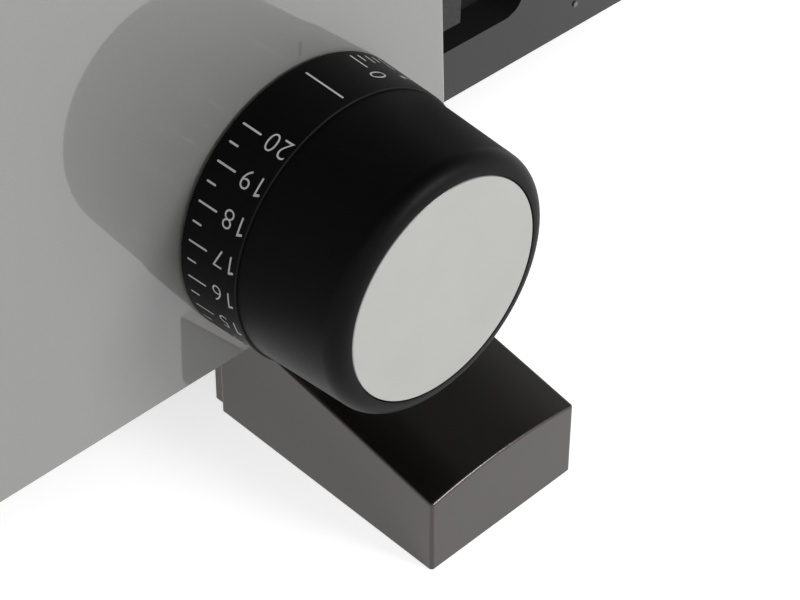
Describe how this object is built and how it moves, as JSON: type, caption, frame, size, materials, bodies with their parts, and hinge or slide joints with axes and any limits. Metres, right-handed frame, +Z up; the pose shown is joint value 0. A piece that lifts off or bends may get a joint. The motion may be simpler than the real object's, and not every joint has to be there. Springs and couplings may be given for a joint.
{
  "type": "food slicer",
  "caption": "Electric food slicer with a round blade, a numbered thickness knob that moves a stop plate, a sliding carriage and a food holder.",
  "frame": {"origin": "on the table, under the middle of the machine's overall box", "axes": "+X to the user's end, -Y to the knob side, +Y to the carriage side, +Z up"},
  "size_m": [0.35, 0.226, 0.215],
  "materials": {
    "polished_housing": "polished, mirror-like",
    "cast_alloy": "cast",
    "painted_casting": "cast, painted black",
    "steel": "turned",
    "satin_black": "satin",
    "gloss_black": "gloss",
    "bronze": "sintered",
    "laminations": "stacked sheets",
    "copper": "enamelled wire",
    "carbon": "pressed carbon",
    "rubber": "moulded",
    "rail_alloy": "anodised",
    "capacitor_case": "gloss",
    "nylon": "moulded",
    "disc_alloy": "satin",
    "stainless_sheet": "brushed",
    "blade_steel": "ground",
    "clear_plastic": "clear",
    "button_grey": "gloss",
    "button_red": "gloss"
  },
  "bodies": {
    "frame": {"motor_housing": "polished_housing", "bearing_plate": "cast_alloy", "housing_screws": "steel", "blade_guard": "satin_black", "knob_bushing": "bronze", "guide_rods": "steel", "blade_bearings": "steel", "idler_pin": "steel", "motor_front_frame": "cast_alloy", "motor_back_frame": "cast_alloy", "motor_bolts": "steel", "motor_standoffs": "steel", "motor_stator": "laminations", "field_windings": "copper", "carbon_brushes": "carbon", "base_frame": "gloss_black", "base_cover": "satin_black", "outrigger_foot": "gloss_black", "rubber_feet": "rubber", "base_screws": "steel", "carriage_rail": "rail_alloy", "rail_screws": "steel", "switch_body": "satin_black", "suppressor": "capacitor_case", "terminal_block": "nylon", "cable_gland": "rubber"},
    "knob": {"dial_ring": "satin_black", "knob_grip": "satin_black", "knob_disc": "disc_alloy", "knob_shaft": "steel", "thickness_cam": "nylon"},
    "stop": {"stop_carrier": "painted_casting", "cam_followers": "steel", "stop_plate": "gloss_black", "stop_facing": "stainless_sheet", "stop_rivets": "steel"},
    "blade": {"blade": "blade_steel", "blade_shaft": "steel", "blade_screws": "steel", "output_gear": "nylon"},
    "blade_lock": {"blade_lock": "satin_black"},
    "idler": {"idler_small_gear": "nylon", "idler_large_gear": "nylon"},
    "rotor": {"rotor_core": "laminations", "commutator": "copper", "motor_shaft": "steel", "cooling_fan": "satin_black", "motor_pinion": "steel"},
    "carriage": {"carriage_slider": "satin_black", "carriage_table": "stainless_sheet", "carriage_wall": "satin_black", "thumb_guard": "clear_plastic"},
    "food_holder": {"holder_plate": "satin_black", "holder_spikes": "steel", "holder_handle": "satin_black"},
    "start_button": {"start_button": "button_grey"},
    "release_button": {"release_button": "button_red"}
  },
  "joints": [
    {"name": "knob_turn", "type": "hinge", "parent": "frame", "child": "knob", "pos_m": [-0.025, -0.07215, 0.0783], "axis": [0, -1, 0], "range_deg": [0, 329.3]},
    {"name": "stop_slide", "type": "slide", "parent": "frame", "child": "stop", "axis": [0, -1, 0], "range_m": [0, 0.02151]},
    {"name": "blade_spin", "type": "hinge", "parent": "frame", "child": "blade", "pos_m": [-0.041, 0, 0.118], "axis": [0, -1, 0], "continuous": true},
    {"name": "idler_spin", "type": "hinge", "parent": "frame", "child": "idler", "pos_m": [-0.07865, -0.02, 0.118], "axis": [0, -1, 0], "continuous": true},
    {"name": "rotor_spin", "type": "hinge", "parent": "frame", "child": "rotor", "pos_m": [-0.0865, -0.04, 0.09643], "axis": [0, -1, 0], "continuous": true},
    {"name": "lock_turn", "type": "hinge", "parent": "blade", "child": "blade_lock", "pos_m": [-0.041, 0, 0.118], "axis": [0, -1, 0], "range_deg": [0, 90]},
    {"name": "carriage_slide", "type": "slide", "parent": "frame", "child": "carriage", "axis": [-1, 0, 0], "range_m": [0, 0.18]},
    {"name": "holder_slide", "type": "slide", "parent": "carriage", "child": "food_holder", "axis": [0, -1, 0], "range_m": [0, 0.075]},
    {"name": "start_press", "type": "slide", "parent": "frame", "child": "start_button", "axis": [-1, 0, 0], "range_m": [0, 0.0035], "stiffness_N_per_m": 600, "springref_m": -0.002},
    {"name": "release_press", "type": "slide", "parent": "frame", "child": "release_button", "axis": [-1, 0, 0], "range_m": [0, 0.003], "stiffness_N_per_m": 400, "springref_m": -0.002}
  ],
  "couplings": [
    {"joint": "stop_slide", "follows": "knob_turn", "m_per_rad": 0.0037408},
    {"joint": "idler_spin", "follows": "blade_spin", "ratio": -4},
    {"joint": "rotor_spin", "follows": "blade_spin", "ratio": 15}
  ]
}
